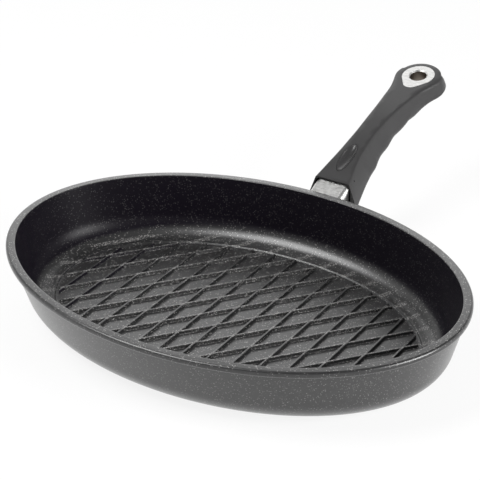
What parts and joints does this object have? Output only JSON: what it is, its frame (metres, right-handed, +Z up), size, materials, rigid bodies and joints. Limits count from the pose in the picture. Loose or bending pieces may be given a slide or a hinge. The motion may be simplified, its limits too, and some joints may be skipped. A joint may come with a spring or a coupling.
{
  "type": "oval fish pan",
  "caption": "Oval cast frying pan for fish with a ribbed diamond grill floor, rolled rim and a slide-off moulded handle with a release button and a hanging eye.",
  "frame": {"origin": "centre of the flat base, on the surface it stands on", "axes": "+Y from the middle of the bowl towards the handle, +Z up, +X along the oval's long axis"},
  "size_m": [0.35, 0.3987, 0.0954],
  "materials": {
    "coated_casting": "non-stick coating, satin",
    "satin_metal": "bright satin metal",
    "moulding": "fine matt heat-resistant moulding",
    "button": "fine matt moulding",
    "steel": "plain sheet steel"
  },
  "bodies": {
    "pan": {"pan_body": "coated_casting", "neck_sleeve": "satin_metal"},
    "handle": {"handle_grip": "moulding", "socket_liner": "steel", "latch_spring": "steel", "liner_screw": "steel", "liner_nut": "steel", "hang_eye": "satin_metal", "eye_ring": "satin_metal"},
    "button": {"release_button": "button"}
  },
  "joints": [
    {"name": "handle_slide", "type": "slide", "parent": "pan", "child": "handle", "axis": [0, 0.9063, 0.4226], "range_m": [0, 0.05], "deforming": ["latch_spring"]},
    {"name": "button_press", "type": "slide", "parent": "handle", "child": "button", "axis": [0, 0.4226, -0.9063], "range_m": [0, 0.0025], "stiffness_N_per_m": 400, "springref_m": -0.002, "deforming": ["latch_spring"]}
  ]
}
